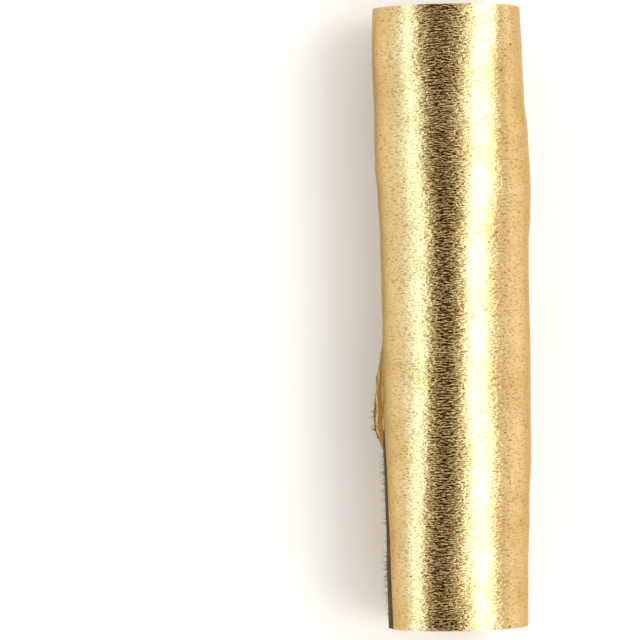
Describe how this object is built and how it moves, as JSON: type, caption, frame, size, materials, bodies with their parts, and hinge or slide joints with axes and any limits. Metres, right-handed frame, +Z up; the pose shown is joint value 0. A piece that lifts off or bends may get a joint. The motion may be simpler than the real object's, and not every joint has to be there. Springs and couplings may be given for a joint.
{
  "type": "metal foil tape roll",
  "caption": "Wide roll of adhesive-backed gold-coloured metal foil on a paper core, with a tail that lifts and a release liner that peels.",
  "frame": {"origin": "middle of the core's bore, on its axis", "axes": "+Y along the winding axis, +Z up with the roll lying on its side, +X to the right of the free edge"},
  "size_m": [0.0368, 0.1524, 0.0358],
  "materials": {
    "foil": "thin rolled foil, satin with a fine crinkled grain",
    "adhesive": "clear amber pressure-sensitive film",
    "liner": "brown kraft release paper, coated on one side",
    "core_board": "matt kraft board",
    "core_board_grey": "matt grey-brown board"
  },
  "bodies": {
    "roll": {"core_inner_ply": "core_board", "core_middle_ply": "core_board_grey", "core_outer_ply": "core_board", "foil_winding": "foil", "adhesive_winding": "adhesive", "liner_winding": "liner"},
    "tail": {"foil_tail": "foil", "adhesive_tail": "adhesive"},
    "tail_liner": {"liner_tail": "liner"}
  },
  "joints": [
    {"name": "tail_lift", "type": "hinge", "parent": "roll", "child": "tail", "pos_m": [-0.00255, 0, 0.01818], "axis": [0, 1, 0], "range_deg": [0, 110]},
    {"name": "liner_peel", "type": "hinge", "parent": "roll", "child": "tail_liner", "pos_m": [-0.00253, 0, 0.01799], "axis": [0, 1, 0], "range_deg": [0, 60]}
  ],
  "couplings": [
    {"joint": "liner_peel", "follows": "tail_lift", "ratio": 0.5}
  ]
}
